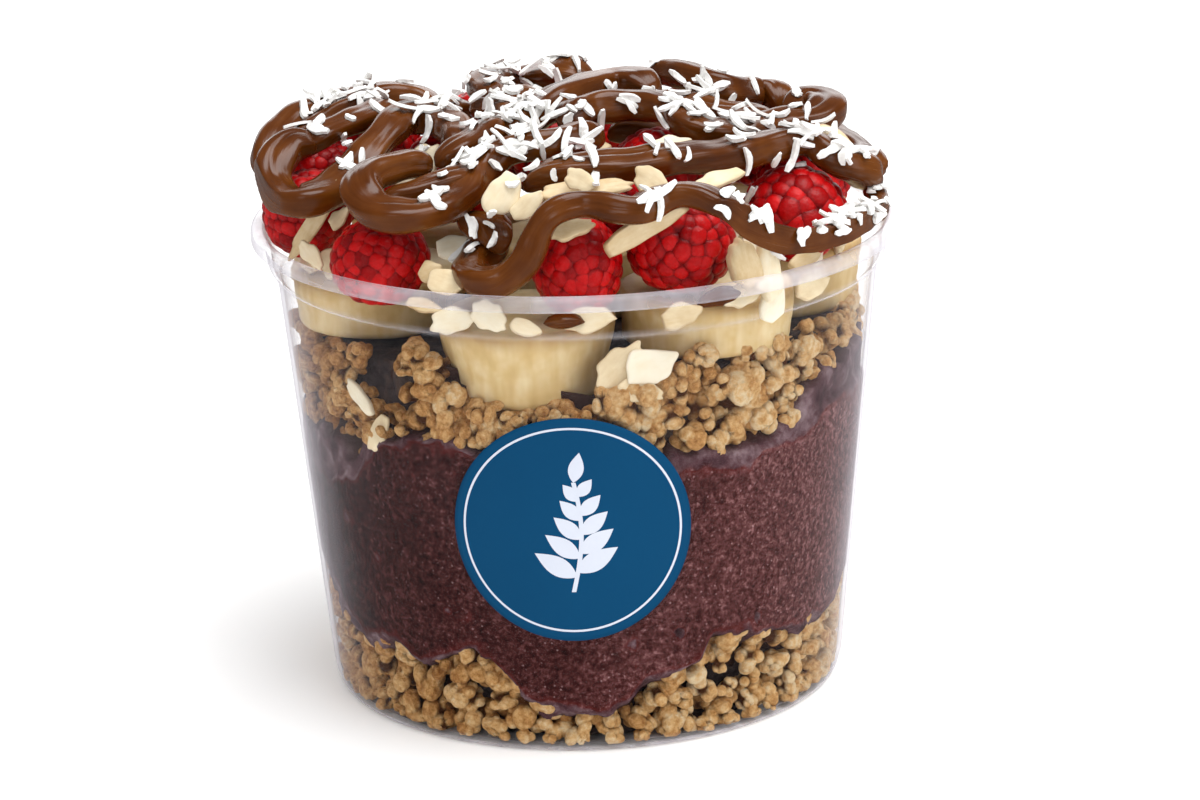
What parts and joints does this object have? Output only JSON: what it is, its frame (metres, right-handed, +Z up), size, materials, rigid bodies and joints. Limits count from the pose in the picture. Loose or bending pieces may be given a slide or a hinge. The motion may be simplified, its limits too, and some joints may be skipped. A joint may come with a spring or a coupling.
{
  "type": "acai bowl",
  "caption": "Clear round tub of layered granola, acai and banana slices, heaped with raspberries, almond flakes, coconut and piped chocolate spread.",
  "frame": {"origin": "centre of the tub's base, on the surface it stands on", "axes": "+Z up; the labelled front faces -Y, and +X is to the right seen from the front"},
  "size_m": [0.117, 0.117, 0.1098],
  "materials": {
    "clear_plastic": "clear, slightly milky, thin moulded plastic",
    "label_print": "satin printed sticker",
    "granola": "rough toasted oat clusters",
    "acai": "soft frozen puree, faintly grainy",
    "banana": "moist cut fruit",
    "raspberry": "fresh, slightly glossy",
    "chocolate_spread": "smooth and glossy",
    "almond": "dry cut nut"
  },
  "bodies": {
    "root": {"tub": "clear_plastic", "label": "label_print", "granola_bottom": "granola", "acai": "acai", "granola_top": "granola", "banana_1": "banana", "banana_2": "banana", "banana_3": "banana", "banana_4": "banana", "banana_5": "banana", "banana_6": "banana", "banana_7": "banana", "raspberry_01": "raspberry", "raspberry_02": "raspberry", "raspberry_03": "raspberry", "raspberry_04": "raspberry", "raspberry_05": "raspberry", "raspberry_06": "raspberry", "raspberry_07": "raspberry", "raspberry_08": "raspberry", "raspberry_09": "raspberry", "raspberry_10": "raspberry", "raspberry_11": "raspberry", "raspberry_12": "raspberry", "raspberry_13": "raspberry", "raspberry_14": "raspberry", "raspberry_15": "raspberry", "raspberry_16": "raspberry", "raspberry_17": "raspberry", "spread_01": "chocolate_spread", "spread_02": "chocolate_spread", "spread_03": "chocolate_spread", "spread_04": "chocolate_spread", "spread_05": "chocolate_spread", "spread_06": "chocolate_spread", "spread_07": "chocolate_spread", "spread_08": "chocolate_spread", "spread_09": "chocolate_spread", "spread_10": "chocolate_spread", "almond_1": "almond", "almond_2": "almond", "almond_3": "almond", "almond_4": "almond"}
  },
  "joints": []
}
